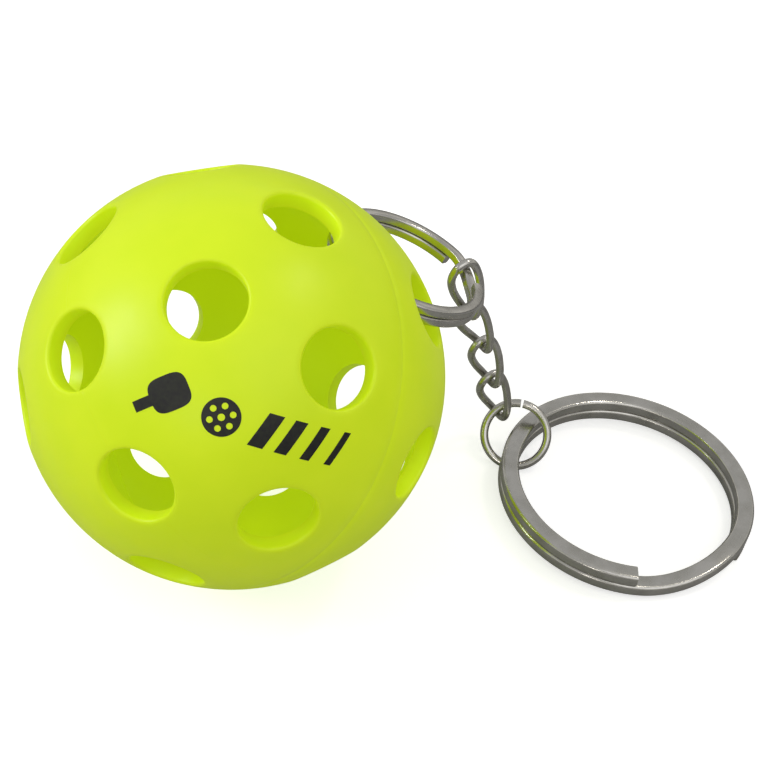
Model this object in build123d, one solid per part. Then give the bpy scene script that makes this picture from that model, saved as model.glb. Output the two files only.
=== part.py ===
"""Miniature pickleball on a short key chain.

Frame: origin where the ball touches the surface it stands on, +Z up, +X towards the key ring.
Every piece is modelled about its own centre and then put in its place.
"""
from build123d import *
import math
import os

# ---- ball: two alike halves, welded face to face ----
BALL_DIAMETER = 40.0
WALL = 1.6
HOLE_DIAMETER = 7.0
HOLE_ROUNDING = 0.3
HOLE_ROWS = ((0.0, 1, 0.0), (37.4, 4, 0.0), (69.8, 8, 22.5))  # angle from pole, holes, first bearing
HALF_OFFSET = 22.5         # the second half's pattern, turned about the pole
LIP_THICKNESS = 0.7        # locating lip inside the weld
LIP_HEIGHT = 0.8
LIP_CLEARANCE = 0.05
BALL_TURN = -142.5         # bearing of the first half's pole
BALL_TILT = 56.6           # that pole's angle from straight up
BALL_SPIN = 57.4           # the hole pattern's turn about the pole

# ---- small split ring, threaded through two neighbouring holes ----
SMALL_RING_SLACK = 1.11    # its mean diameter, over the spacing of the two holes
SMALL_WIRE_WIDTH = 1.1     # radial
SMALL_WIRE_HEIGHT = 0.95   # of one coil
SMALL_RING_BEARING = 25.97 # its centre, seen from the ball's
SMALL_RING_RISE = 26.89
SMALL_RING_SINK = 0.54     # its centre, below the ball's skin
SMALL_RING_LEAN = 22.0     # from lying flat
SMALL_RING_TURN = 18.0     # bearing of its lowest point
SMALL_JOG_START = -12.0    # where the wire starts to climb from coil to coil
SMALL_JOG_SWEEP = 40.0

# ---- chain of twisted links ----
LINK_COUNT = 4
LINK_WIRE = 0.85
LINK_WIDTH = 3.7           # over the wire, at mid-length
LINK_TWIST = 90.0          # one end against the other
LINK_SQUARENESS = 3.0      # 2 is an ellipse, more is nearer a rectangle
LINK_POINTS = 16
LINK_CLEARANCE = 0.14      # between wires that hang on each other
LINK_FACE = -11.0          # bearing of the broad side
CHAIN_START = 9.0          # bearing on the small ring, from its lowest point
FIRST_REACH = 1.25         # from the small ring's wire centre to the first link's end
LAST_REACH = 1.0           # from the jump ring's wire centre to the last link's end
CHAIN_SAG = 0.6            # how far the first two links hang below the straight line where they meet

# ---- jump ring, leaning back ----
JUMP_RING_DIAMETER = 7.8
JUMP_WIRE = 0.9
JUMP_RING_REACH = 10.3     # its centre, out from the ball's side along +X
JUMP_RING_ASIDE = 12.5     # and along +Y
JUMP_RING_HEIGHT = 3.08
JUMP_RING_LEAN = 47.0
JUMP_RING_TURN = -101.8
JUMP_GAP = 4.0             # degrees open between the butted ends
JUMP_GAP_BEARING = 90.0
JUMP_HANG_BEARING = 137.0  # where the last link hangs on it

# ---- key ring, lying down with one side up on the jump ring ----
KEY_RING_DIAMETER = 27.5
KEY_WIRE_WIDTH = 1.9
KEY_WIRE_HEIGHT = 1.35
KEY_RING_BEARING = -27.9   # its centre, seen from the jump ring's
KEY_RING_OFFSET = 0.44     # how far its wire's circle passes from the jump ring's centre
KEY_RING_LEAN = 2.6
KEY_RING_TURN = -25.0
KEY_JOG_START = -66.0
KEY_JOG_SWEEP = 55.0

# ---- split-ring details ----
COIL_GAP = 0.04            # between a split ring's two coils
END_GAP = 0.3              # from a cut end to the climbing wire
FLAT_WIRE_ROUNDING = 0.3   # share of the wire's height
JOG_SECTIONS = 7

BALL_RADIUS = BALL_DIAMETER / 2
BALL_CENTRE = Vector(0, 0, BALL_RADIUS)
FROM_BASE = (Align.CENTER, Align.CENTER, Align.MIN)


def direction(bearing, elevation):
    """Unit vector with a bearing about Z and a height above the horizontal, in degrees."""
    b, e = math.radians(bearing), math.radians(elevation)
    return Vector(math.cos(e) * math.cos(b), math.cos(e) * math.sin(b), math.sin(e))


def leaning_plane(centre, turn, lean):
    """Plane of a ring whose face looks along a bearing, and whose +X points straight downhill."""
    return Plane(origin=centre, x_dir=direction(turn, -lean), z_dir=direction(turn, 90 - lean))


def on_circle(radius, bearing, height=0.0):
    """Point at a bearing on a circle about Z."""
    a = math.radians(bearing)
    return Vector(radius * math.cos(a), radius * math.sin(a), height)


# ---------------------------------------------------------------- ball
def ball_half(with_lip):
    """One moulded half with its pole along +Z, with the locating lip or the recess for it."""
    inner = BALL_RADIUS - WALL
    half = split(Sphere(BALL_RADIUS) - Sphere(inner), bisect_by=Plane.XY, keep=Keep.TOP)
    for polar, count, first in HOLE_ROWS:
        for i in range(count):
            axis = direction(first + 360 * i / count, 90 - polar)
            half -= Plane(origin=(0, 0, 0), z_dir=axis) * Cylinder(HOLE_DIAMETER / 2, BALL_DIAMETER,
                                                                 align=FROM_BASE)
    mid_wall = BALL_RADIUS - WALL / 2
    rims = [e for e in half.edges().filter_by(GeomType.CIRCLE)
            if abs(e.radius - HOLE_DIAMETER / 2) < 0.01 and (e @ 0).length > mid_wall]
    half = fillet(rims, HOLE_ROUNDING)
    lip_outer = inner + LIP_THICKNESS
    if with_lip:
        reach = Cylinder(lip_outer, 2 * LIP_HEIGHT) - Cylinder(inner, 2 * LIP_HEIGHT)
        return half + split(reach, bisect_by=Plane.XY, keep=Keep.BOTTOM)
    return half - Cylinder(lip_outer + LIP_CLEARANCE, 2 * (LIP_HEIGHT + LIP_CLEARANCE))


def ball_location():
    """Where the ball's own frame, with the first half's pole along +Z, comes to stand."""
    turned = Location(BALL_CENTRE) * Rotation(0, 0, BALL_TURN)
    return turned * Rotation(0, BALL_TILT, 0) * Rotation(0, 0, BALL_SPIN)


# ---------------------------------------------------------------- rings
def split_ring(diameter, width, height, jog_start, jog_sweep):
    """Two-coil ring of flat wire, centred on the origin, whose wire climbs once from coil to coil."""
    mean = (diameter - width) / 2
    step = height + COIL_GAP
    end_angle = math.degrees(END_GAP / mean)

    def section(bearing, level):
        plane = Plane(origin=on_circle(mean, bearing, level), x_dir=on_circle(1, bearing),
                      z_dir=on_circle(1, bearing + 90))
        return plane * RectangleRounded(width, height, FLAT_WIRE_ROUNDING * height)

    def coil(first, last, level):
        return revolve(section(first, level), Axis.Z, last - first)

    jog_end = jog_start + jog_sweep
    climb = []
    for i in range(JOG_SECTIONS):
        s = i / (JOG_SECTIONS - 1)
        climb.append(section(jog_start + jog_sweep * s, step * (s * s * (3 - 2 * s) - 0.5)))
    lower = coil(jog_end + end_angle, jog_start + 360, -step / 2)
    upper = coil(jog_end, jog_start + 360 - end_angle, step / 2)
    return lower + loft(climb) + upper


def jump_ring():
    """Round-wire ring with butted ends, centred on the origin."""
    mean = (JUMP_RING_DIAMETER - JUMP_WIRE) / 2
    start = JUMP_GAP_BEARING + JUMP_GAP / 2
    plane = Plane(origin=on_circle(mean, start), z_dir=on_circle(1, start + 90))
    return revolve(plane * Circle(JUMP_WIRE / 2), Axis.Z, 360 - JUMP_GAP)


# ---------------------------------------------------------------- chain
def link_curve(length):
    """Closed centreline of a twisted link, with its length along Z."""
    half_width = (LINK_WIDTH - LINK_WIRE) / 2
    points = []
    for i in range(LINK_POINTS):
        t = 2 * math.pi * (i + 0.5) / LINK_POINTS
        along = math.copysign(abs(math.cos(t)) ** (2 / LINK_SQUARENESS), math.cos(t))
        aside = math.copysign(abs(math.sin(t)) ** (2 / LINK_SQUARENESS), math.sin(t))
        twist = math.radians(LINK_TWIST / 2) * along
        points.append((half_width * aside * math.cos(twist), half_width * aside * math.sin(twist),
                       length / 2 * along))
    return Spline(*points, periodic=True)


def link(length):
    """One twisted chain link, centred on the origin, swept in two halves that meet face to face."""
    whole = link_curve(length)
    curves = whole.trim(0, 0.5), whole.trim(0.5, 1)
    near, far = (sweep(Plane(origin=c @ 0, z_dir=c % 0) * Circle(LINK_WIRE / 2), path=c) for c in curves)
    return near + far


def chain_nodes(upper_wire, lower_wire):
    """Points where neighbouring links touch, between two rings' wire centres."""
    along = (lower_wire - upper_wire).normalized()
    across = Vector(0, 0, 1).cross(along).normalized()
    half_step = (LINK_WIRE + LINK_CLEARANCE) / 2
    first = upper_wire - along * (FIRST_REACH - half_step)
    last = lower_wire + along * (LAST_REACH - half_step)
    nodes = [first + (last - first) * (i / LINK_COUNT) for i in range(LINK_COUNT + 1)]
    nodes[1] += across.cross(along) * CHAIN_SAG
    return nodes


# ---------------------------------------------------------------- layout
def hole_spacing():
    """Distance between neighbouring holes of the row next to the weld, at mid-wall."""
    polar, count, _ = HOLE_ROWS[-1]
    return 2 * (BALL_RADIUS - WALL / 2) * math.sin(math.radians(polar)) * math.sin(math.pi / count)


front_frame = ball_location()
back_frame = front_frame * Rotation(0, 0, HALF_OFFSET) * Rotation(180, 0, 0)

small_mean = hole_spacing() + SMALL_RING_SLACK
small_centre = BALL_CENTRE + direction(SMALL_RING_BEARING, SMALL_RING_RISE) * (BALL_RADIUS - SMALL_RING_SINK)
small_plane = leaning_plane(small_centre, SMALL_RING_TURN, SMALL_RING_LEAN)

jump_mean = JUMP_RING_DIAMETER - JUMP_WIRE
jump_centre = Vector(BALL_RADIUS + JUMP_RING_REACH, JUMP_RING_ASIDE, JUMP_RING_HEIGHT)
jump_plane = Plane(origin=jump_centre, x_dir=direction(JUMP_RING_TURN + 90, 0),
                   z_dir=direction(JUMP_RING_TURN, 90 - JUMP_RING_LEAN))

key_mean = KEY_RING_DIAMETER - KEY_WIRE_WIDTH
key_middle = jump_centre + direction(KEY_RING_BEARING, 0) * (key_mean / 2 + KEY_RING_OFFSET)
key_stack = 2 * KEY_WIRE_HEIGHT + COIL_GAP
key_lean = math.radians(KEY_RING_LEAN)
key_height = key_stack / 2 * math.cos(key_lean) + KEY_RING_DIAMETER / 2 * math.sin(key_lean)
key_plane = leaning_plane((key_middle.X, key_middle.Y, key_height), KEY_RING_TURN, KEY_RING_LEAN)

chain_start = small_plane.from_local_coords(on_circle(small_mean / 2, CHAIN_START))
chain_end = jump_plane.from_local_coords(on_circle(jump_mean / 2, JUMP_HANG_BEARING))
nodes = chain_nodes(chain_start, chain_end)
link_length = max((b - a).length for a, b in zip(nodes, nodes[1:])) + LINK_WIRE + LINK_CLEARANCE
link_planes = [Plane(origin=(upper + lower) / 2, x_dir=direction(LINK_FACE, 0), z_dir=upper - lower)
               for upper, lower in zip(nodes, nodes[1:])]

# ---------------------------------------------------------------- assembly
os.makedirs("parts", exist_ok=True)
parts = {
    "ball_half_front": front_frame * ball_half(with_lip=True),
    "ball_half_back": back_frame * ball_half(with_lip=False),
    "small_split_ring": small_plane * split_ring(
        small_mean + SMALL_WIRE_WIDTH, SMALL_WIRE_WIDTH, SMALL_WIRE_HEIGHT, SMALL_JOG_START, SMALL_JOG_SWEEP),
    "jump_ring": jump_plane * jump_ring(),
    "key_ring": key_plane * split_ring(
        KEY_RING_DIAMETER, KEY_WIRE_WIDTH, KEY_WIRE_HEIGHT, KEY_JOG_START, KEY_JOG_SWEEP),
}
for i, place in enumerate(link_planes, start=1):
    parts[f"chain_link_{i}"] = place * link(link_length)

for name, shape in parts.items():
    export_step(shape, f"parts/{name}.step")

print("small ring diameter", round(small_mean + SMALL_WIRE_WIDTH, 2))
print("link length over the wire", round(link_length + LINK_WIRE, 2))
print("links touch at", [tuple(round(c, 2) for c in node) for node in nodes])
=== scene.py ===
"""Looks for a miniature perforated ball on a short key chain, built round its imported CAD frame.

Sizes are millimetres until a mesh is finished. A finished piece is in metres, in the frame's own
axes: the ball rests on the origin, +Z is up and +X points towards the key ring.
"""
from __future__ import annotations

import logging
import math
from collections.abc import Callable, Sequence
from dataclasses import dataclass, field
from enum import Enum

import bmesh
import bpy
from mathutils import Matrix, Vector
from mathutils.geometry import delaunay_2d_cdt

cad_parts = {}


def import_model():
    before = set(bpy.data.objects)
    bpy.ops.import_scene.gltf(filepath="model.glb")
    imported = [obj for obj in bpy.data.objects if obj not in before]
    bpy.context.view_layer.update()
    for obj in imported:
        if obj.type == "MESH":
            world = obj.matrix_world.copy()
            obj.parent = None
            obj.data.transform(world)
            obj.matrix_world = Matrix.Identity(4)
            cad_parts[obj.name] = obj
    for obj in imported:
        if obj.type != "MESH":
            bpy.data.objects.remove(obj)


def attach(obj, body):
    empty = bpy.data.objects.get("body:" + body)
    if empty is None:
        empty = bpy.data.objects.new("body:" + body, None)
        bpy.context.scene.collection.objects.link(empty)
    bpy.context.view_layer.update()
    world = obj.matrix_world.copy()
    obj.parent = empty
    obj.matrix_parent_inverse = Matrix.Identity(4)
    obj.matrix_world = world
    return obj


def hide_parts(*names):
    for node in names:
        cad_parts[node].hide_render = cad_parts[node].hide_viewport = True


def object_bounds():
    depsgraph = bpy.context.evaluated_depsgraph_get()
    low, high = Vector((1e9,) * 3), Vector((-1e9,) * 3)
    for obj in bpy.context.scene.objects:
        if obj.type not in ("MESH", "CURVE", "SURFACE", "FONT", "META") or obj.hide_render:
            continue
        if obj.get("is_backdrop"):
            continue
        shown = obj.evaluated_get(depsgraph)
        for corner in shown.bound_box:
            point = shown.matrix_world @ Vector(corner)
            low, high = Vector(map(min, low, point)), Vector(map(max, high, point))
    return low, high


LOG = logging.getLogger("key_chain_ball")
MM = 0.001
GOLDEN_ANGLE = math.pi * (3 - math.sqrt(5))


# ------------------------------------------------------------------ small helpers
def bearing_vector(bearing: float, elevation: float = 0.0) -> Vector:
    """Unit vector at a bearing about Z and an elevation, both in degrees."""
    b, e = math.radians(bearing), math.radians(elevation)
    return Vector((math.cos(e) * math.cos(b), math.cos(e) * math.sin(b), math.sin(e)))


def frame_matrix(origin: Vector, x_dir: Vector, z_dir: Vector) -> Matrix:
    """Placement with its own X and Z directions.

    Args:
        origin: Where the placement's own origin comes to lie.
        x_dir: Direction of its X axis, made square to z_dir.
        z_dir: Direction of its Z axis.

    Returns:
        The placement as a 4x4 matrix.
    """
    z = z_dir.normalized()
    x = (x_dir - z * x_dir.dot(z)).normalized()
    turned = Matrix((x, z.cross(x), z)).transposed().to_4x4()
    return Matrix.Translation(origin) @ turned


def leaning_matrix(centre: Sequence[float], turn: float, lean: float) -> Matrix:
    """Placement of a ring that leans: its own +X points straight downhill, at a bearing."""
    return frame_matrix(Vector(centre), bearing_vector(turn, -lean), bearing_vector(turn, 90 - lean))


def on_circle(radius: float, bearing: float) -> Vector:
    """Point of a circle about Z, in its own plane."""
    return bearing_vector(bearing) * radius


def finished_piece(name: str, mesh: bpy.types.Mesh, place: Matrix) -> bpy.types.Object:
    """Puts a mesh in its place, in metres, and links it as a piece at the origin.

    Args:
        name: The piece's name.
        mesh: Its mesh, in millimetres, about its own centre.
        place: Where it goes, in millimetres.

    Returns:
        The piece's object.
    """
    mesh.transform(Matrix.Scale(MM, 4) @ place)
    mesh.name = name
    piece = bpy.data.objects.new(name, mesh)
    bpy.context.scene.collection.objects.link(piece)
    return piece


# ------------------------------------------------------------------ node trees
class Graph:
    """Writes the nodes of one tree, whether of a material, the world or geometry."""

    def __init__(self, tree: bpy.types.NodeTree) -> None:
        """Starts on a tree that is emptied first."""
        self.tree = tree
        tree.nodes.clear()

    def add(self, kind: str, inputs: dict | None = None, **settings: object) -> bpy.types.Node:
        """Adds a node.

        Args:
            kind: Blender's name for the type of node.
            inputs: Values or sockets by input name or index.
            **settings: The node's own properties.

        Returns:
            The new node.
        """
        node = self.tree.nodes.new(kind)
        for key, value in settings.items():
            setattr(node, key, value)
        for key, value in (inputs or {}).items():
            if isinstance(value, bpy.types.NodeSocket):
                self.tree.links.new(value, node.inputs[key])
            else:
                node.inputs[key].default_value = value
        return node

    def maths(self, operation: str, a: object, b: object = 0.0) -> bpy.types.NodeSocket:
        """Result of one Math node."""
        return self.add("ShaderNodeMath", {0: a, 1: b}, operation=operation).outputs[0]

    def ramp(self, factor: bpy.types.NodeSocket,
             stops: Sequence[tuple[float, tuple]]) -> bpy.types.NodeSocket:
        """Colour ramp through the given stops.

        Args:
            factor: What the ramp reads.
            stops: Pairs of a place from 0 to 1 and an RGBA colour.

        Returns:
            The ramp's colour.
        """
        node = self.add("ShaderNodeValToRGB", {0: factor})
        points = node.color_ramp.elements
        for spare in range(len(stops) - len(points)):
            points.new(0.5 + 0.01 * spare)
        for point, (place, colour) in zip(points, stops):
            point.position = place
            point.color = colour
        return node.outputs[0]


@dataclass(frozen=True)
class TreeInput:
    """A named size that a geometry tree takes."""

    name: str
    socket: str
    value: object


class ShapeTree:
    """A Geometry Nodes tree with named inputs that makes one kind of wire shape."""

    def __init__(self, name: str, sizes: Sequence[TreeInput],
                 wiring: Callable[[Graph, dict], bpy.types.NodeSocket]) -> None:
        """Builds the tree.

        Args:
            name: The tree's name.
            sizes: The sizes that it takes, with their first values.
            wiring: Writes the shape's nodes and gives its mesh.
        """
        self.tree = bpy.data.node_groups.new(name, "GeometryNodeTree")
        sockets = self.tree.interface
        sockets.new_socket("Geometry", in_out="OUTPUT", socket_type="NodeSocketGeometry")
        for size in sizes:
            made = sockets.new_socket(size.name, in_out="INPUT", socket_type=size.socket)
            made.default_value = size.value
        sockets.new_socket("Finish", in_out="INPUT", socket_type="NodeSocketMaterial")
        graph = Graph(self.tree)
        given = graph.add("NodeGroupInput")
        shape = wiring(graph, {s.name: s for s in given.outputs if s.name})
        smooth = graph.add("GeometryNodeSetShadeSmooth", {"Geometry": shape})
        real = graph.add("GeometryNodeRealizeInstances", {"Geometry": smooth.outputs[0]})
        dressed = graph.add("GeometryNodeSetMaterial",
                            {"Geometry": real.outputs[0], "Material": given.outputs["Finish"]})
        graph.add("NodeGroupOutput", {0: dressed.outputs[0]})

    def mesh(self, values: dict[str, float], finish: bpy.types.Material) -> bpy.types.Mesh:
        """Runs the tree once.

        Args:
            values: Sizes by input name.
            finish: The material that the shape gets.

        Returns:
            A plain mesh, in the units of the values.
        """
        host = bpy.data.objects.new("host", bpy.data.meshes.new("host"))
        bpy.context.scene.collection.objects.link(host)
        modifier = host.modifiers.new("shape", "NODES")
        modifier.node_group = self.tree
        given = {**values, "Finish": finish}
        for item in self.tree.interface.items_tree:
            if item.in_out == "INPUT" and item.name in given:
                modifier[item.identifier] = given[item.name]
        host.update_tag()
        graph = bpy.context.evaluated_depsgraph_get()
        made = bpy.data.meshes.new_from_object(host.evaluated_get(graph))
        host.modifiers.remove(modifier)
        bpy.data.objects.remove(host)
        return made


def path_by_index(graph: Graph, steps: bpy.types.NodeSocket) -> tuple[
        bpy.types.NodeSocket, bpy.types.NodeSocket]:
    """A curve of so many points, and each point's share of the way along it from 0 to 1."""
    line = graph.add("GeometryNodeCurvePrimitiveLine")
    points = graph.add("GeometryNodeResampleCurve", {"Curve": line.outputs[0], "Count": steps})
    share = graph.maths("DIVIDE", graph.add("GeometryNodeInputIndex").outputs[0],
                        graph.maths("SUBTRACT", steps, 1.0))
    return points.outputs[0], share


def wire_ring_wiring(graph: Graph, size: dict) -> bpy.types.NodeSocket:
    """Nodes of a wire ring: arcs at one or two levels, with one climb between them.

    Args:
        graph: The tree being written.
        size: Its input sockets by name.

    Returns:
        The swept wire.
    """
    path, share = path_by_index(graph, size["Steps"])
    angle = graph.add("ShaderNodeMapRange", {"Value": share, "To Min": size["Start"],
                                             "To Max": size["End"]}).outputs[0]
    half = graph.maths("MULTIPLY", size["Step"], 0.5)
    level = graph.add("ShaderNodeMapRange", {"Value": angle, "From Min": size["Climb Start"],
                                             "From Max": size["Climb End"],
                                             "To Min": graph.maths("MULTIPLY", half, -1.0),
                                             "To Max": half}, interpolation_type="SMOOTHSTEP")
    place = graph.add("ShaderNodeCombineXYZ", {
        0: graph.maths("MULTIPLY", graph.maths("COSINE", angle), size["Mean Radius"]),
        1: graph.maths("MULTIPLY", graph.maths("SINE", angle), size["Mean Radius"]),
        2: level.outputs[0]})
    laid = graph.add("GeometryNodeSetPosition", {"Geometry": path, "Position": place.outputs[0]})
    upright = graph.add("GeometryNodeSetCurveNormal", {"Curve": laid.outputs[0]}, mode="Z_UP")
    outline = graph.add("GeometryNodeCurvePrimitiveQuadrilateral",
                        {"Width": size["Wire Width"], "Height": size["Wire Height"]})
    rounded = graph.add("GeometryNodeFilletCurve", {"Curve": outline.outputs[0], "Count": 6,
                                                    "Radius": size["Rounding"]}, mode="POLY")
    swept = graph.add("GeometryNodeCurveToMesh", {"Curve": upright.outputs[0],
                                                  "Profile Curve": rounded.outputs[0],
                                                  "Fill Caps": True})
    return swept.outputs[0]


def twisted_link_wiring(graph: Graph, size: dict) -> bpy.types.NodeSocket:
    """Nodes of a chain link: a squared oval of round wire whose two ends are turned against each other.

    Args:
        graph: The tree being written.
        size: Its input sockets by name.

    Returns:
        The swept wire.
    """
    path, share = path_by_index(graph, size["Steps"])
    last_share = graph.maths("DIVIDE", graph.maths("SUBTRACT", size["Steps"], 1.0), size["Steps"])
    angle = graph.maths("MULTIPLY", graph.maths("MULTIPLY", share, last_share), math.tau)
    power = graph.maths("DIVIDE", 2.0, size["Squareness"])

    def squared(wave: str) -> bpy.types.NodeSocket:
        """One coordinate of the squared oval, from -1 to 1."""
        value = graph.maths(wave, angle)
        strength = graph.maths("POWER", graph.maths("ABSOLUTE", value), power)
        return graph.maths("MULTIPLY", graph.maths("SIGN", value), strength)

    along, aside = squared("COSINE"), squared("SINE")
    aside = graph.maths("MULTIPLY", aside, size["Half Width"])
    twist = graph.maths("MULTIPLY", along, graph.maths("MULTIPLY", size["Twist"], 0.5))
    place = graph.add("ShaderNodeCombineXYZ", {
        0: graph.maths("MULTIPLY", aside, graph.maths("COSINE", twist)),
        1: graph.maths("MULTIPLY", aside, graph.maths("SINE", twist)),
        2: graph.maths("MULTIPLY", along, size["Half Length"])})
    laid = graph.add("GeometryNodeSetPosition", {"Geometry": path, "Position": place.outputs[0]})
    closed = graph.add("GeometryNodeSetSplineCyclic", {0: laid.outputs[0], "Cyclic": True})
    round_wire = graph.add("GeometryNodeCurvePrimitiveCircle",
                           {"Resolution": 20, "Radius": size["Wire Radius"]})
    swept = graph.add("GeometryNodeCurveToMesh", {"Curve": closed.outputs[0],
                                                  "Profile Curve": round_wire.outputs[0]})
    return swept.outputs[0]


# ------------------------------------------------------------------ finishes
def soft_noise(graph: Graph, where: bpy.types.NodeSocket, size_mm: float,
               detail: float) -> bpy.types.NodeSocket:
    """Even noise whose blotches are about size_mm across."""
    return graph.add("ShaderNodeTexNoise", {"Vector": where, "Scale": 1 / (size_mm * MM),
                                            "Detail": detail, "Roughness": 0.55}).outputs[0]


@dataclass(frozen=True)
class BallPlastic:
    """Moulded fluorescent plastic: soft gloss, slightly clouded, with a fine moulded skin.

    The fluorescent look is a painted glow: plain emission all over, which also lifts the shade. Towards the
    inner skin the glow is weaker and the colour a darker green: painted shade inside the wall and down the
    holes' bores.
    """

    name: str = "ball_plastic"
    deep: tuple = (0.60, 0.80, 0.010, 1)
    bright: tuple = (0.67, 0.86, 0.016, 1)
    roughness: float = 0.36
    # Painted glow: this emission colour and strength give the ball a steady glow of its own, standing in for
    # fluorescence and lifting its shade.
    painted_glow_colour: tuple = (0.70, 0.86, 0.004, 1)
    painted_glow_strength: float = 0.235
    depth_glow: float = 0.12
    depth_glow_reach: float = 1.2
    # Painted shade: towards the inner skin the colour turns this darker green and the painted glow weaker;
    # skin_depth is how far under the outer skin this begins.
    inside: tuple = (0.62, 0.74, 0.014, 1)
    painted_glow_inside_strength: float = 0.19
    skin_depth: float = 0.3
    cloud_size: float = 9.0
    grain_size: float = 0.35
    scuff_size: float = 2.2
    specular_level: float = 0.4
    mould_line_width: float = 0.09

    def material(self, line_normals: Sequence[Vector], centre: Vector, radius: float,
                 wall: float) -> bpy.types.Material:
        """Makes the material.

        Args:
            line_normals: Normals of the planes through the ball's centre in which a faint
                mould line runs round the skin.
            centre: The ball's centre, in millimetres.
            radius: The ball's outside radius, in millimetres.
            wall: Its wall's thickness, in millimetres.

        Returns:
            The finished material.
        """
        made = bpy.data.materials.new(self.name)
        made.use_nodes = True
        graph = Graph(made.node_tree)
        where = graph.add("ShaderNodeTexCoord").outputs["Object"]
        clouds = soft_noise(graph, where, self.cloud_size, 3.0)
        grain = soft_noise(graph, where, self.grain_size, 4.0)
        scuffs = soft_noise(graph, where, self.scuff_size, 6.0)
        colour = graph.ramp(clouds, ((0.34, self.deep), (0.66, self.bright)))
        from_centre = graph.add("ShaderNodeVectorMath", {0: where, 1: tuple(centre * MM)},
                                operation="SUBTRACT").outputs[0]
        distance = graph.add("ShaderNodeVectorMath", {0: from_centre}, operation="LENGTH").outputs["Value"]
        # Painted shade inside: 0 at the inner skin and 1 just under the outer skin, fading in the darker
        # colour and the weaker glow.
        reach = {"Value": distance, "From Min": (radius - wall) * MM,
                 "From Max": (radius - self.skin_depth) * MM}
        painted_inner_shade_fade = graph.add("ShaderNodeMapRange", reach).outputs[0]
        painted_glow_dimmed_inside = graph.add("ShaderNodeMapRange", {**reach, "To Min": self.painted_glow_inside_strength,
                                                 "To Max": self.painted_glow_strength}).outputs[0]
        colour_with_painted_inner_shade = graph.add("ShaderNodeMix", {"Factor": painted_inner_shade_fade, "A": self.inside, "B": colour},
                         data_type="RGBA").outputs["Result"]
        lines = None
        for normal in line_normals:
            height = graph.add("ShaderNodeVectorMath", {0: from_centre, 1: tuple(normal)},
                               operation="DOT_PRODUCT").outputs["Value"]
            near = graph.add("ShaderNodeMapRange", {"Value": graph.maths("ABSOLUTE", height),
                                                    "From Max": self.mould_line_width * MM,
                                                    "To Min": 1.0, "To Max": 0.0},
                             interpolation_type="SMOOTHSTEP").outputs[0]
            lines = near if lines is None else graph.maths("MAXIMUM", lines, near)
        skin = graph.maths("ADD", graph.maths("MULTIPLY", grain, 0.3), graph.maths("MULTIPLY", scuffs, 0.5))
        relief = graph.maths("ADD", skin, graph.maths("MULTIPLY", lines, 0.9))
        bump = graph.add("ShaderNodeBump", {"Height": relief, "Strength": 0.25, "Distance": 0.05 * MM})
        gloss = graph.add("ShaderNodeMapRange", {"Value": scuffs, "To Min": self.roughness - 0.07,
                                                 "To Max": self.roughness + 0.12}).outputs[0]
        # The emission is the painted glow, made weaker inside as painted shade.
        surface = graph.add("ShaderNodeBsdfPrincipled", {
            "Base Color": colour_with_painted_inner_shade, "Roughness": gloss, "IOR": 1.49, "Normal": bump.outputs[0],
            "Subsurface Weight": self.depth_glow, "Subsurface Radius": (1.0, 0.9, 0.25),
            "Subsurface Scale": self.depth_glow_reach * MM, "Specular IOR Level": self.specular_level,
            "Emission Color": self.painted_glow_colour, "Emission Strength": painted_glow_dimmed_inside})
        graph.add("ShaderNodeOutputMaterial", {"Surface": surface.outputs[0]})
        return made


@dataclass(frozen=True)
class NickelPlate:
    """Bright nickel on drawn steel wire: a little worn, with fine lengthways scratches."""

    name: str
    clean: tuple = (0.66, 0.645, 0.61, 1)
    dull: tuple = (0.50, 0.49, 0.455, 1)
    roughness: float = 0.2

    def material(self) -> bpy.types.Material:
        """Makes the material."""
        made = bpy.data.materials.new(self.name)
        made.use_nodes = True
        graph = Graph(made.node_tree)
        where = graph.add("ShaderNodeTexCoord").outputs["Object"]
        patches = soft_noise(graph, where, 2.5, 5.0)
        squashed = graph.add("ShaderNodeMapping", {"Vector": where, "Scale": (1, 1, 7)}).outputs[0]
        drawn = soft_noise(graph, squashed, 0.5, 3.0)
        pits = graph.add("ShaderNodeTexVoronoi", {"Vector": where, "Scale": 1 / (0.6 * MM)}).outputs[0]
        colour = graph.ramp(patches, ((0.3, self.dull), (0.62, self.clean)))
        gloss = graph.add("ShaderNodeMapRange", {"Value": patches, "From Min": 0.3, "From Max": 0.7,
                                                 "To Min": self.roughness + 0.1,
                                                 "To Max": self.roughness - 0.05}).outputs[0]
        relief = graph.maths("ADD", drawn, graph.maths("MULTIPLY", pits, 0.35))
        bump = graph.add("ShaderNodeBump", {"Height": relief, "Strength": 0.18, "Distance": 0.03 * MM})
        surface = graph.add("ShaderNodeBsdfPrincipled", {
            "Base Color": colour, "Metallic": 1.0, "Roughness": gloss, "Normal": bump.outputs[0]})
        graph.add("ShaderNodeOutputMaterial", {"Surface": surface.outputs[0]})
        return made


@dataclass(frozen=True)
class PrintedInk:
    """Flat black pad-printed ink with a slightly uneven film."""

    name: str = "printed_ink"
    thick: tuple = (0.008, 0.008, 0.009, 1)
    thin: tuple = (0.02, 0.024, 0.012, 1)
    roughness: float = 0.42

    def material(self) -> bpy.types.Material:
        """Makes the material."""
        made = bpy.data.materials.new(self.name)
        made.use_nodes = True
        graph = Graph(made.node_tree)
        where = graph.add("ShaderNodeTexCoord").outputs["Object"]
        film = soft_noise(graph, where, 0.5, 4.0)
        colour = graph.ramp(film, ((0.35, self.thick), (0.75, self.thin)))
        bump = graph.add("ShaderNodeBump", {"Height": film, "Strength": 0.2, "Distance": 0.01 * MM})
        surface = graph.add("ShaderNodeBsdfPrincipled", {
            "Base Color": colour, "Roughness": self.roughness, "Normal": bump.outputs[0]})
        graph.add("ShaderNodeOutputMaterial", {"Surface": surface.outputs[0]})
        return made


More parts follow.
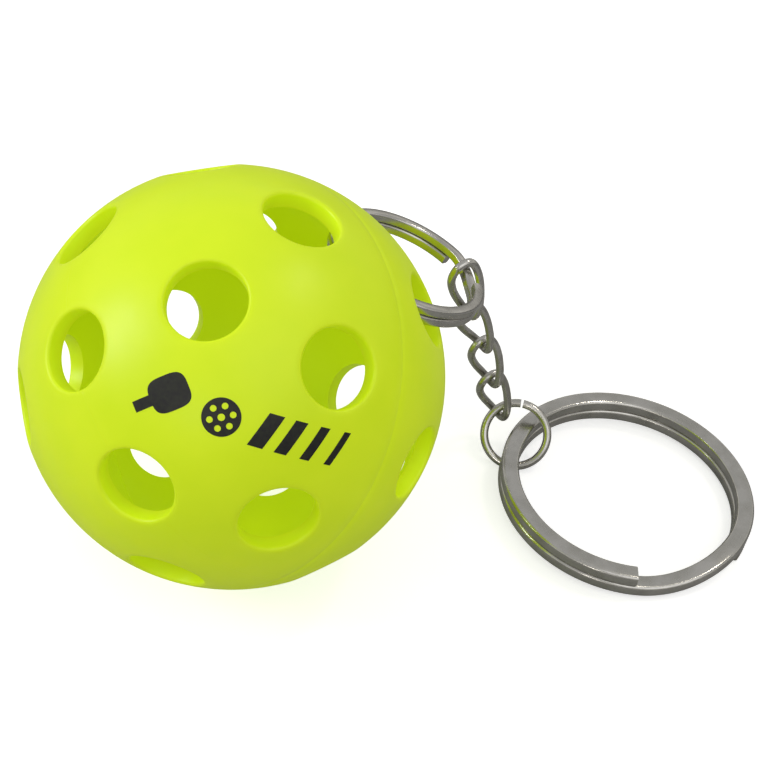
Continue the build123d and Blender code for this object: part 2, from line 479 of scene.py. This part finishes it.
# ------------------------------------------------------------------ ball
class HalfEdge(Enum):
    """What a moulded half carries along its weld."""

    LIP = "lip"
    RECESS = "recess"


@dataclass(frozen=True)
class HoleRow:
    """A row of round holes at one angle from the pole."""

    polar: float
    count: int
    first: float


@dataclass(frozen=True)
class SphereNet:
    """Triangles over a unit half sphere, with its pole along +Z and a hole's rim at each hole."""

    points: list
    triangles: list
    holes: list
    weld_rings: list


@dataclass
class PerforatedBall:
    """Two alike moulded halves with round holes, welded face to face."""

    radius: float = 20.0
    wall: float = 1.6
    hole_radius: float = 3.5
    rim_rounding: float = 0.3
    rows: tuple = (HoleRow(0.0, 1, 0.0), HoleRow(37.4, 4, 0.0), HoleRow(69.8, 8, 22.5))
    half_offset: float = 22.5
    turn: float = -142.5
    tilt: float = 56.6
    spin: float = 57.4
    seam_depth: float = 0.03
    seam_width: float = 0.16
    lip_thickness: float = 0.7
    lip_height: float = 0.8
    lip_clearance: float = 0.05
    net_spacing: float = 0.75
    rim_rings: tuple = (0.0, 0.5, 1.3)
    rim_margin: float = 2.1
    weld_margin: float = 0.6
    rim_steps: int = 64
    weld_steps: int = 240
    rounding_steps: int = 4
    plastic: BallPlastic = field(default_factory=BallPlastic)

    @property
    def centre(self) -> Vector:
        """The ball's centre: it rests on the origin."""
        return Vector((0, 0, self.radius))

    def placement(self) -> Matrix:
        """The front half's place, with its pole along its own +Z."""
        turned = Matrix.Rotation(math.radians(self.turn), 4, "Z")
        tilted = Matrix.Rotation(math.radians(self.tilt), 4, "Y")
        spun = Matrix.Rotation(math.radians(self.spin), 4, "Z")
        return Matrix.Translation(self.centre) @ turned @ tilted @ spun

    def back_placement(self) -> Matrix:
        """The back half's place: turned over, and by half a hole's pitch about the pole."""
        over = Matrix.Rotation(math.pi, 4, "X")
        return self.placement() @ Matrix.Rotation(math.radians(self.half_offset), 4, "Z") @ over

    def hole_axes(self) -> list[Vector]:
        """Unit vectors from a half's centre through its holes."""
        return [bearing_vector(row.first + 360 * i / row.count, 90 - row.polar)
                for row in self.rows for i in range(row.count)]

    def rim_angle(self) -> float:
        """Half angle, in radians, of a hole's rim where the skin starts to round over."""
        return math.asin((self.hole_radius + self.rim_rounding) / self.radius)

    def recess_angle(self) -> float:
        """Angle from the pole, in radians, of the inner skin's edge above the recess."""
        return math.acos((self.lip_height + self.lip_clearance) / (self.radius - self.wall))

    def net(self) -> SphereNet:
        """Covers a unit half sphere with even triangles that follow the rims and the weld."""
        points: list[Vector] = []
        rims = []
        rim = self.rim_angle()
        for axis in self.hole_axes():
            side = axis.orthogonal().normalized()
            other = axis.cross(side)
            for ring, wider in enumerate(self.rim_rings):
                angle = rim + wider * self.net_spacing / self.radius
                start = len(points)
                for i in range(self.rim_steps):
                    t = math.tau * (i + 0.5 * (ring % 2)) / self.rim_steps
                    across = side * math.cos(t) + other * math.sin(t)
                    points.append(axis * math.cos(angle) + across * math.sin(angle))
                if ring == 0:
                    rims.append(range(start, start + self.rim_steps))
        weld = []
        for polar in (math.pi / 2, math.pi / 2 - self.seam_width / 2 / self.radius, self.recess_angle()):
            weld.append(range(len(points), len(points) + self.weld_steps))
            for i in range(self.weld_steps):
                t = math.tau * i / self.weld_steps
                points.append(Vector((math.sin(polar) * math.cos(t), math.sin(polar) * math.sin(t),
                                      math.cos(polar))))
        points += self.fill_points(rim)
        flat = [Vector((p.x, p.y)) / (1 + p.z) for p in points]
        laid = delaunay_2d_cdt(flat, [], [], 0, 1e-9)
        source = [origins[0] for origins in laid[3]]
        inside = {index: hole for hole, ring in enumerate(rims) for index in ring}
        triangles = []
        for corners in laid[2]:
            named = [source[c] for c in corners]
            holes = {inside.get(n) for n in named}
            if len(holes) == 1 and None not in holes:
                continue
            triangles.append(named)
        return SphereNet(points, triangles, rims, weld)

    def fill_points(self, rim: float) -> list[Vector]:
        """Evenly spread points of the half sphere, clear of the rims and of the weld."""
        total = int(2 * math.tau * self.radius ** 2 / self.net_spacing ** 2)
        keep_off = math.cos(rim + self.rim_margin * self.net_spacing / self.radius)
        lowest = math.cos(self.recess_angle()) + self.weld_margin * self.net_spacing / self.radius
        axes = self.hole_axes()
        points = []
        for i in range(total):
            z = 1 - (2 * i + 1) / total
            if z < lowest:
                break
            across = math.sqrt(1 - z * z)
            p = Vector((across * math.cos(i * GOLDEN_ANGLE), across * math.sin(i * GOLDEN_ANGLE), z))
            if all(p.dot(axis) < keep_off for axis in axes):
                points.append(p)
        return points

    def half_mesh(self, edge: HalfEdge) -> bpy.types.Mesh:
        """Makes one half as a closed shell.

        Args:
            edge: Whether its weld carries the lip or the recess for it.

        Returns:
            The half's mesh, in millimetres, with its pole along +Z.
        """
        net = self.net()
        inner_radius = self.radius - self.wall
        shell = bmesh.new()
        low = set(net.weld_rings[0])
        outer = [shell.verts.new(p * (self.radius - (self.seam_depth if i in low else 0)))
                 for i, p in enumerate(net.points)]
        edge_only = edge is HalfEdge.RECESS
        dropped = set(net.weld_rings[0]) | set(net.weld_rings[1]) if edge_only else set()
        inner = [None if i in dropped else shell.verts.new(p * inner_radius)
                 for i, p in enumerate(net.points)]
        for a, b, c in net.triangles:
            shell.faces.new((outer[a], outer[b], outer[c]))
            if not {a, b, c} & dropped:
                shell.faces.new((inner[c], inner[b], inner[a]))
        for axis, rim in zip(self.hole_axes(), net.holes):
            self.close_rim(shell, axis, [outer[i] for i in rim], [inner[i] for i in rim])
        inner_edge = net.weld_rings[2 if edge_only else 0]
        self.close_weld(shell, edge, [outer[i] for i in net.weld_rings[0]], [inner[i] for i in inner_edge])
        bmesh.ops.recalc_face_normals(shell, faces=shell.faces)
        for face in shell.faces:
            face.smooth = True
        mesh = bpy.data.meshes.new("half")
        shell.to_mesh(mesh)
        shell.free()
        return mesh

    def close_rim(self, shell: bmesh.types.BMesh, axis: Vector, skin: list, inside: list) -> None:
        """Rounds a hole's rim over and runs its bore down to the inner skin.

        Args:
            shell: The half being made.
            axis: The hole's axis.
            skin: The rim's vertices on the outer skin.
            inside: The rim's vertices on the inner skin.
        """
        ring = skin
        top = skin[0].co.dot(axis)
        for step in range(1, self.rounding_steps + 1):
            turned = math.pi / 2 * step / self.rounding_steps
            across = self.hole_radius + self.rim_rounding * (1 - math.sin(turned))
            height = top - self.rim_rounding * (1 - math.cos(turned))
            ring = self.bridge(shell, ring, [
                axis * height + (v.co - axis * v.co.dot(axis)).normalized() * across for v in skin])
        for a, b, c, d in zip(ring, ring[1:] + ring[:1], inside[1:] + inside[:1], inside):
            shell.faces.new((a, b, c, d))
        self.sharpen(shell, inside)

    def close_weld(self, shell: bmesh.types.BMesh, edge: HalfEdge, skin: list, inside: list) -> None:
        """Closes the wall along the weld plane, with the lip or its recess on the inside.

        Args:
            shell: The half being made.
            edge: Which of the two it carries.
            skin: The outer skin's last ring.
            inside: The inner skin's last ring.
        """
        lip_outer = self.radius - self.wall + self.lip_thickness
        if edge is HalfEdge.LIP:
            steps = ((lip_outer, 0.0), (lip_outer, -self.lip_height),
                     (self.radius - self.wall, -self.lip_height))
        else:
            room = lip_outer + self.lip_clearance
            steps = ((room, 0.0), (room, self.lip_height + self.lip_clearance))
        ring = skin
        self.sharpen(shell, ring)
        for across, height in steps:
            ring = self.bridge(shell, ring, [
                Vector((v.co.x, v.co.y, 0)).normalized() * across + Vector((0, 0, height)) for v in skin])
            self.sharpen(shell, ring)
        for a, b, c, d in zip(ring, ring[1:] + ring[:1], inside[1:] + inside[:1], inside):
            shell.faces.new((a, b, c, d))
        self.sharpen(shell, inside)

    @staticmethod
    def bridge(shell: bmesh.types.BMesh, ring: list, places: list[Vector]) -> list:
        """Adds a ring of vertices and the quads that join it to the last one."""
        added = [shell.verts.new(place) for place in places]
        for a, b, c, d in zip(ring, ring[1:] + ring[:1], added[1:] + added[:1], added):
            shell.faces.new((a, b, c, d))
        return added

    @staticmethod
    def sharpen(shell: bmesh.types.BMesh, ring: list) -> None:
        """Keeps the edge along a ring of vertices crisp."""
        for a, b in zip(ring, ring[1:] + ring[:1]):
            edge = shell.edges.get((a, b))
            if edge is not None:
                edge.smooth = False

    def build(self) -> list[bpy.types.Object]:
        """Makes both halves and dresses them."""
        place = self.placement()
        across_weld = (place.to_3x3() @ Vector((0, 0, 1))).normalized()
        mould_plane = (place.to_3x3() @ Vector((0, 1, 0))).normalized()
        pieces = []
        for name, edge, where, lines in (
                ("ball_front_shell", HalfEdge.LIP, place, (across_weld, mould_plane)),
                ("ball_back_shell", HalfEdge.RECESS, self.back_placement(), (across_weld,))):
            piece = finished_piece(name, self.half_mesh(edge), where)
            piece.data.materials.append(
                self.plastic.material(lines, self.centre, self.radius, self.wall))
            pieces.append(piece)
        for piece, node in zip(pieces, ("ball_half_front", "ball_half_back")):
            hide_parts(node)
            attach(piece, "ball")
        return pieces


# ------------------------------------------------------------------ printed mark
@dataclass(frozen=True)
class FlatShape:
    """A flat outline with cut-outs, in millimetres, counted by the even-odd rule."""

    loops: tuple

    def holds(self, point: Vector) -> bool:
        """Whether a point lies on the shape."""
        crossings = 0
        for loop in self.loops:
            for a, b in zip(loop, loop[1:] + loop[:1]):
                if (a.y > point.y) != (b.y > point.y):
                    crossings += point.x < a.x + (point.y - a.y) / (b.y - a.y) * (b.x - a.x)
        return crossings % 2 == 1


def disc(centre: tuple[float, float], radius: float, steps: int = 32) -> list[Vector]:
    """Outline of a disc."""
    return [Vector(centre) + Vector((math.cos(math.tau * i / steps), math.sin(math.tau * i / steps))) * radius
            for i in range(steps)]


@dataclass
class BallMark:
    """A generic black pictogram along the ball: a paddle, a small ball and slanted bars."""

    ball: PerforatedBall
    middle: tuple = (-81.0, 29.9)
    reading: tuple = (0.912, -0.027, -0.270)
    film_below: float = 0.02
    film_above: float = 0.012
    fill_spacing: float = 0.4
    blade_size: tuple = (3.0, 3.5)
    blade_squareness: float = 3.4
    blade_steps: int = 56
    handle_size: tuple = (0.95, 1.6)
    paddle_tilt: float = -48.0
    paddle_centre: tuple = (-7.6, 0.45)
    dot_ball: tuple = (-2.9, 0.0, 1.65)
    middle_spot: float = 0.19
    spot_count: int = 6
    spot_reach: float = 0.6
    spot_size: float = 0.17
    bar_count: int = 4
    bar_start: float = 0.3
    bar_pitch: float = 2.35
    bar_width: float = 1.35
    bar_height: float = 3.1
    bar_slant: float = 0.32
    bar_taper: float = 0.17
    ink: PrintedInk = field(default_factory=PrintedInk)

    def paddle(self) -> FlatShape:
        """A rounded blade with a short handle, leaning over."""
        wide, tall = self.blade_size
        grip_wide, grip_tall = self.handle_size
        squareness = 2 / self.blade_squareness
        loop = []
        for i in range(self.blade_steps):
            t = math.tau * (i + 0.5) / self.blade_steps
            x = math.copysign(abs(math.sin(t)) ** squareness, math.sin(t)) * wide / 2
            y = -math.copysign(abs(math.cos(t)) ** squareness, math.cos(t)) * tall / 2
            if y > -tall / 2 * 0.9 or abs(x) > grip_wide / 2:
                loop.append(Vector((x, y)))
        loop += [Vector((-grip_wide / 2, -tall / 2)), Vector((-grip_wide / 2, -tall / 2 - grip_tall)),
                 Vector((grip_wide / 2, -tall / 2 - grip_tall)), Vector((grip_wide / 2, -tall / 2))]
        turned = Matrix.Rotation(math.radians(self.paddle_tilt), 2)
        return FlatShape(([turned @ p + Vector(self.paddle_centre) for p in loop],))

    def small_ball(self) -> FlatShape:
        """A disc with a ring of round cut-outs about a middle one."""
        x, y, radius = self.dot_ball
        cut_outs = [disc((x, y), radius * self.middle_spot, 16)]
        for i in range(self.spot_count):
            step = bearing_vector(360 * (i + 0.5) / self.spot_count) * radius * self.spot_reach
            cut_outs.append(disc((x + step.x, y + step.y), radius * self.spot_size, 16))
        return FlatShape((disc((x, y), radius, 48), *cut_outs))

    def bars(self) -> list[FlatShape]:
        """Slanted bars that get narrower to the right."""
        shapes = []
        for i in range(self.bar_count):
            left = self.bar_start + self.bar_pitch * i
            wide = self.bar_width * (1 - self.bar_taper * i)
            half, lean = self.bar_height / 2, self.bar_height * self.bar_slant / 2
            shapes.append(FlatShape(([Vector((left - lean, -half)), Vector((left + wide - lean, -half)),
                                      Vector((left + wide + lean, half)), Vector((left + lean, half))],)))
        return shapes

    def wrapped(self, shape: FlatShape) -> bmesh.types.BMesh:
        """Lays one shape on the ball as a thin closed film.

        Args:
            shape: The flat outline.

        Returns:
            The film's mesh, in millimetres, in the object's own frame.
        """
        flat, edges = [], []
        for loop in shape.loops:
            start = len(flat)
            for a, b in zip(loop, loop[1:] + loop[:1]):
                parts = max(1, math.ceil((b - a).length / self.fill_spacing))
                flat += [a.lerp(b, k / parts) for k in range(parts)]
            count = len(flat) - start
            edges += [(start + i, start + (i + 1) % count) for i in range(count)]
        rim = len(flat)
        low = Vector((min(p.x for p in flat), min(p.y for p in flat)))
        high = Vector((max(p.x for p in flat), max(p.y for p in flat)))
        for i in range(1, int((high.x - low.x) / self.fill_spacing)):
            for j in range(1, int((high.y - low.y) / self.fill_spacing)):
                p = low + Vector((i, j)) * self.fill_spacing
                clear = all((p - q).length > self.fill_spacing * 0.6 for q in flat[:rim])
                if clear and shape.holds(p):
                    flat.append(p)
        laid = delaunay_2d_cdt(flat, edges, [], 0, 1e-6)
        film = bmesh.new()
        sides = [[film.verts.new(self.on_ball(p, lift)) for p in laid[0]]
                 for lift in (self.film_above, -self.film_below)]
        for a, b, c in laid[2]:
            if shape.holds((laid[0][a] + laid[0][b] + laid[0][c]) / 3):
                film.faces.new((sides[0][a], sides[0][b], sides[0][c]))
                film.faces.new((sides[1][c], sides[1][b], sides[1][a]))
        under = dict(zip(sides[0], sides[1]))
        for edge in [e for e in film.edges if e.is_boundary and e.verts[0] in under]:
            a, b = edge.verts
            film.faces.new((a, b, under[b], under[a]))
        loose = [v for v in film.verts if not v.link_faces]
        bmesh.ops.delete(film, geom=loose, context="VERTS")
        bmesh.ops.recalc_face_normals(film, faces=film.faces)
        return film

    def on_ball(self, point: Vector, lift: float) -> Vector:
        """Place on the ball's skin of a point of the flat drawing."""
        out = bearing_vector(*self.middle)
        right = Vector(self.reading)
        right = (right - out * right.dot(out)).normalized()
        up = out.cross(right)
        across, rise = point.x / self.ball.radius, point.y / self.ball.radius
        where = (out * math.cos(across) + right * math.sin(across)) * math.cos(rise) + up * math.sin(rise)
        return self.ball.centre + where * (self.ball.radius + lift)

    def build(self) -> list[bpy.types.Object]:
        """Makes the three parts of the mark and dresses them."""
        ink = self.ink.material()
        groups = {"mark_paddle": [self.paddle()], "mark_small_ball": [self.small_ball()],
                  "mark_bars": self.bars()}
        pieces = []
        for name, shapes in groups.items():
            joined = bpy.data.meshes.new(name)
            whole = bmesh.new()
            for shape in shapes:
                film = self.wrapped(shape)
                film.to_mesh(joined)
                film.free()
                whole.from_mesh(joined)
            whole.to_mesh(joined)
            whole.free()
            piece = finished_piece(name, joined, Matrix.Identity(4))
            piece.data.materials.append(ink)
            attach(piece, "ball")
            pieces.append(piece)
        return pieces


# ------------------------------------------------------------------ rings and chain
@dataclass
class WireRing:
    """A ring of wire: two coils with one climb, or one coil with butted ends."""

    piece_name: str
    node: str
    body: str
    diameter: float
    wire_width: float
    wire_height: float
    rounding: float
    start: float
    end: float
    place: Matrix
    climb_start: float = -1000.0
    climb_end: float = -900.0
    step: float = 0.0
    steps: int = 320

    def build(self, tree: ShapeTree) -> bpy.types.Object:
        """Sweeps the wire and dresses it.

        Args:
            tree: The geometry tree that sweeps wire rings.

        Returns:
            The finished piece.
        """
        finish = NickelPlate(f"{self.piece_name}_plate").material()
        mesh = tree.mesh({
            "Mean Radius": (self.diameter - self.wire_width) / 2,
            "Start": math.radians(self.start), "End": math.radians(self.end),
            "Climb Start": math.radians(self.climb_start), "Climb End": math.radians(self.climb_end),
            "Step": self.step, "Wire Width": self.wire_width, "Wire Height": self.wire_height,
            "Rounding": self.rounding, "Steps": self.steps}, finish)
        piece = finished_piece(self.piece_name, mesh, self.place)
        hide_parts(self.node)
        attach(piece, self.body)
        return piece


def split_ring(piece_name: str, node: str, body: str, diameter: float, wire: tuple[float, float],
               climb: tuple[float, float], place: Matrix) -> WireRing:
    """A two-coil split ring.

    Args:
        piece_name: Name of the finished piece.
        node: The CAD node that it stands for.
        body: The body that it rides on.
        diameter: Over the wire.
        wire: The wire's width and the height of one coil.
        climb: Where the wire starts to climb, and over how many degrees.
        place: The ring's place.

    Returns:
        The ring, ready to build.
    """
    coil_gap, end_gap, rounding_share = 0.04, 0.3, 0.3
    width, height = wire
    start, sweep = climb
    spare = math.degrees(end_gap / ((diameter - width) / 2))
    return WireRing(piece_name, node, body, diameter, width, height, rounding_share * height,
                    start + sweep + spare, start + 720 - spare, place,
                    start + 360, start + sweep + 360, height + coil_gap, 420)


@dataclass
class LinkChain:
    """Twisted links between the small split ring and the jump ring."""

    upper_wire: Vector
    lower_wire: Vector
    count: int = 4
    wire: float = 0.85
    width: float = 3.7
    twist: float = 90.0
    squareness: float = 3.0
    clearance: float = 0.14
    face: float = -11.0
    first_reach: float = 1.25
    last_reach: float = 1.0
    sag: float = 0.6
    steps: int = 112

    def contacts(self) -> list[Vector]:
        """Points where neighbouring links touch, from the small ring down."""
        along = (self.lower_wire - self.upper_wire).normalized()
        across = Vector((0, 0, 1)).cross(along).normalized()
        half_step = (self.wire + self.clearance) / 2
        first = self.upper_wire - along * (self.first_reach - half_step)
        last = self.lower_wire + along * (self.last_reach - half_step)
        points = [first.lerp(last, i / self.count) for i in range(self.count + 1)]
        points[1] += across.cross(along) * self.sag
        return points

    def build(self) -> list[bpy.types.Object]:
        """Sweeps every link and dresses it."""
        tree = ShapeTree("twisted_link", (
            TreeInput("Half Length", "NodeSocketFloat", 3.5), TreeInput("Half Width", "NodeSocketFloat", 1.4),
            TreeInput("Squareness", "NodeSocketFloat", 3.0), TreeInput("Twist", "NodeSocketFloat", 1.57),
            TreeInput("Wire Radius", "NodeSocketFloat", 0.42), TreeInput("Steps", "NodeSocketInt", 112),
        ), twisted_link_wiring)
        points = self.contacts()
        length = max((b - a).length for a, b in zip(points, points[1:])) + self.wire + self.clearance
        pieces = []
        for i, (upper, lower) in enumerate(zip(points, points[1:]), start=1):
            mesh = tree.mesh({
                "Half Length": length / 2, "Half Width": (self.width - self.wire) / 2,
                "Squareness": self.squareness, "Twist": math.radians(self.twist),
                "Wire Radius": self.wire / 2, "Steps": self.steps,
            }, NickelPlate(f"link_{i}_plate", roughness=0.24).material())
            place = frame_matrix((upper + lower) / 2, bearing_vector(self.face), upper - lower)
            piece = finished_piece(f"link_{i}_wire", mesh, place)
            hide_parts(f"chain_link_{i}")
            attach(piece, f"link_{i}")
            pieces.append(piece)
        return pieces


@dataclass
class KeyHardware:
    """Everything of metal: small split ring, chain, jump ring and key ring."""

    small_diameter: float = 16.0
    small_wire: tuple = (1.1, 0.95)
    small_centre: tuple = (15.6, 7.6, 28.8)
    small_turn: float = 18.0
    small_lean: float = 22.0
    small_climb: tuple = (-12.0, 40.0)
    chain_bearing: float = 9.0
    jump_diameter: float = 7.8
    jump_wire: float = 0.9
    jump_centre: tuple = (30.3, 12.5, 3.08)
    jump_turn: float = -101.8
    jump_lean: float = 47.0
    jump_gap: float = 4.0
    jump_gap_bearing: float = 90.0
    jump_hang_bearing: float = 137.0
    key_diameter: float = 27.5
    key_wire: tuple = (1.9, 1.35)
    key_turn: float = -25.0
    key_lean: float = 2.6
    key_bearing: float = -27.9
    key_offset: float = 0.44
    key_climb: tuple = (-66.0, 55.0)
    coil_gap: float = 0.04

    def key_place(self) -> Matrix:
        """The key ring's place: it lies down, with its wire through the jump ring."""
        lean = math.radians(self.key_lean)
        stack = 2 * self.key_wire[1] + self.coil_gap
        height = stack / 2 * math.cos(lean) + self.key_diameter / 2 * math.sin(lean)
        reach = (self.key_diameter - self.key_wire[0]) / 2 + self.key_offset
        centre = Vector(self.jump_centre) + bearing_vector(self.key_bearing) * reach
        return leaning_matrix((centre.x, centre.y, height), self.key_turn, self.key_lean)

    def build(self) -> list[bpy.types.Object]:
        """Makes and dresses every metal piece."""
        rings = ShapeTree("wire_ring", (
            TreeInput("Mean Radius", "NodeSocketFloat", 10.0), TreeInput("Start", "NodeSocketFloat", 0.0),
            TreeInput("End", "NodeSocketFloat", 6.0), TreeInput("Climb Start", "NodeSocketFloat", -20.0),
            TreeInput("Climb End", "NodeSocketFloat", -19.0), TreeInput("Step", "NodeSocketFloat", 0.0),
            TreeInput("Wire Width", "NodeSocketFloat", 1.0), TreeInput("Wire Height", "NodeSocketFloat", 1.0),
            TreeInput("Rounding", "NodeSocketFloat", 0.3), TreeInput("Steps", "NodeSocketInt", 320),
        ), wire_ring_wiring)
        small_place = leaning_matrix(self.small_centre, self.small_turn, self.small_lean)
        jump_place = frame_matrix(Vector(self.jump_centre), bearing_vector(self.jump_turn + 90),
                                  bearing_vector(self.jump_turn, 90 - self.jump_lean))
        small = split_ring("small_ring_coils", "small_split_ring", "small_ring", self.small_diameter,
                           self.small_wire, self.small_climb, small_place)
        key = split_ring("key_ring_coils", "key_ring", "key_ring_body", self.key_diameter,
                         self.key_wire, self.key_climb, self.key_place())
        butt = self.jump_gap_bearing + self.jump_gap / 2
        jump = WireRing("jump_ring_wire", "jump_ring", "jump_ring_body", self.jump_diameter,
                        self.jump_wire, self.jump_wire, self.jump_wire / 2 * 0.998, butt,
                        butt + 360 - self.jump_gap, jump_place, steps=160)
        pieces = [ring.build(rings) for ring in (small, jump, key)]
        upper = small_place @ on_circle((self.small_diameter - self.small_wire[0]) / 2, self.chain_bearing)
        lower = jump_place @ on_circle((self.jump_diameter - self.jump_wire) / 2, self.jump_hang_bearing)
        return pieces + LinkChain(upper, lower).build()


# ------------------------------------------------------------------ studio
@dataclass(frozen=True)
class SoftBox:
    """One soft area light."""

    name: str
    bearing: float
    elevation: float
    distance: float
    size: float
    power: float
    colour: tuple = (1.0, 1.0, 1.0)

    def build(self, target: Vector) -> None:
        """Hangs the light so that it looks at the target, all in metres."""
        light = bpy.data.lights.new(self.name, "AREA")
        light.shape = "SQUARE"
        light.size = self.size
        light.energy = self.power
        light.color = self.colour
        lamp = bpy.data.objects.new(self.name, light)
        out = bearing_vector(self.bearing, self.elevation)
        lamp.location = target + out * self.distance
        lamp.rotation_euler = (-out).to_track_quat("-Z", "Y").to_euler()
        bpy.context.scene.collection.objects.link(lamp)


@dataclass
class Studio:
    """Pale floor, soft lights and the camera."""

    camera_place: tuple = (5.56, -106.13, 115.6)
    camera_aim: tuple = (0.0609, 0.7428, -0.6667)
    camera_roll: float = 7.0
    lens: float = 70.2
    sensor: float = 36.0
    floor_half_size: float = 0.9
    floor_colour: tuple = (0.80, 0.80, 0.80, 1)
    floor_glow: float = 0.62
    floor_felt: tuple = (0.37, 0.37, 0.37, 1)
    boxes: tuple = (
        SoftBox("key_box", 190, 30, 0.42, 0.16, 0.55),
        SoftBox("fill_box", -60, 50, 0.55, 0.40, 0.35),
        SoftBox("sparkle_box", 20, 62, 0.50, 0.05, 0.22, (1.0, 0.93, 0.82)),
        SoftBox("low_box", -110, 22, 0.55, 0.09, 0.10, (1.0, 0.95, 0.88)),
    )

    def build_floor(self) -> None:
        """A broad floor: pale, gently mottled paper to the camera, and mid grey to every other ray."""
        made = bpy.data.materials.new("floor_paper")
        made.use_nodes = True
        graph = Graph(made.node_tree)
        where = graph.add("ShaderNodeTexCoord").outputs["Object"]
        tone = graph.ramp(soft_noise(graph, where, 40.0, 2.0),
                          ((0.3, tuple(c * 0.985 for c in self.floor_colour[:3]) + (1,)),
                           (0.7, self.floor_colour)))
        seen = graph.add("ShaderNodeBsdfPrincipled", {
            "Base Color": tone, "Roughness": 0.9, "Emission Color": (1, 1, 1, 1),
            "Emission Strength": self.floor_glow})
        felt = graph.add("ShaderNodeBsdfDiffuse", {"Color": self.floor_felt})
        ray = graph.add("ShaderNodeLightPath").outputs["Is Camera Ray"]
        surface = graph.add("ShaderNodeMixShader", {0: ray, 1: felt.outputs[0], 2: seen.outputs[0]})
        graph.add("ShaderNodeOutputMaterial", {"Surface": surface.outputs[0]})
        mesh = bpy.data.meshes.new("floor")
        reach = self.floor_half_size
        mesh.from_pydata([(-reach, -reach, 0), (reach, -reach, 0), (reach, reach, 0), (-reach, reach, 0)],
                         [], [(0, 1, 2, 3)])
        mesh.materials.append(made)
        floor = bpy.data.objects.new("floor", mesh)
        bpy.context.scene.collection.objects.link(floor)
        floor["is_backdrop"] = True

    def build_world(self) -> None:
        """A white backdrop, and for other rays a room: dark low down, brightest a third of the way up."""
        world = bpy.data.worlds.new("studio")
        bpy.context.scene.world = world
        world.use_nodes = True
        graph = Graph(world.node_tree)
        way = graph.add("ShaderNodeTexCoord").outputs["Generated"]
        height = graph.add("ShaderNodeSeparateXYZ", {0: way}).outputs[2]
        room = graph.ramp(height, ((0.0, (0.08, 0.08, 0.08, 1)), (0.12, (0.16, 0.16, 0.15, 1)),
                                   (0.3, (0.75, 0.73, 0.69, 1)), (0.5, (0.42, 0.42, 0.41, 1)),
                                   (1.0, (0.48, 0.48, 0.48, 1))))
        seen = graph.add("ShaderNodeBackground", {"Color": (1, 1, 1, 1), "Strength": 1.0})
        felt = graph.add("ShaderNodeBackground", {"Color": room, "Strength": 1.0})
        ray = graph.add("ShaderNodeLightPath").outputs["Is Camera Ray"]
        mixed = graph.add("ShaderNodeMixShader", {0: ray, 1: felt.outputs[0], 2: seen.outputs[0]})
        graph.add("ShaderNodeOutputWorld", {0: mixed.outputs[0]})

    def build_camera(self) -> None:
        """Sets the camera, which looks down at the ball from the front."""
        camera = bpy.data.cameras.new("camera")
        camera.lens = self.lens
        camera.sensor_width = self.sensor
        camera.clip_start = 0.005
        seat = bpy.data.objects.new("camera", camera)
        aimed = Vector(self.camera_aim).to_track_quat("-Z", "Y")
        rolled = aimed.to_matrix() @ Matrix.Rotation(math.radians(self.camera_roll), 3, "Z")
        seat.matrix_world = Matrix.Translation(Vector(self.camera_place) * MM) @ rolled.to_4x4()
        bpy.context.scene.collection.objects.link(seat)
        bpy.context.scene.camera = seat

    def build(self, target: Vector) -> None:
        """Sets up the whole studio round the object.

        Args:
            target: What the lights look at, in metres.
        """
        bpy.context.scene.view_settings.view_transform = "Standard"
        self.build_floor()
        self.build_world()
        self.build_camera()
        for box in self.boxes:
            box.build(target)


def main() -> None:
    """Builds every piece in order, then the studio."""
    logging.basicConfig(level=logging.INFO)
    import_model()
    cad_box = [list(corner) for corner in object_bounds()]
    ball = PerforatedBall()
    for piece in (*ball.build(), *BallMark(ball).build(), *KeyHardware().build()):
        LOG.info("%s: %d faces", piece.name, len(piece.data.polygons))
    low, high = (Vector(corner) for corner in cad_box)
    Studio().build((low + high) / 2)


if __name__ == "__main__":
    main()
